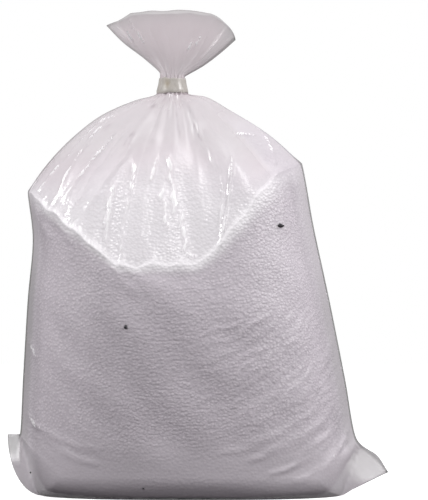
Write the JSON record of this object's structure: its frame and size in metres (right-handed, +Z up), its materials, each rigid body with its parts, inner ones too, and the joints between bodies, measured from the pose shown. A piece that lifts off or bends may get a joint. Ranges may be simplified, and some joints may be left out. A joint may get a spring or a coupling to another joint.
{
  "type": "bag of polystyrene beads",
  "caption": "Clear polythene bag filled with small white foam beads, welded along the base and gathered into a taped neck with a tuft of film above.",
  "frame": {"origin": "on the floor, under the middle of the overall width and depth", "axes": "+Z up, from the welded base to the gathered neck; +X to the right along the bag's width; -Y to the front"},
  "size_m": [0.46, 0.252, 0.585],
  "materials": {
    "film": "clear, slightly hazy, glossy film",
    "beads": "matt white foam beads",
    "tape": "clear, faintly yellow tape"
  },
  "bodies": {
    "root": {"film_bag": "film", "bead_fill": "beads", "neck_tape": "tape"}
  },
  "joints": []
}
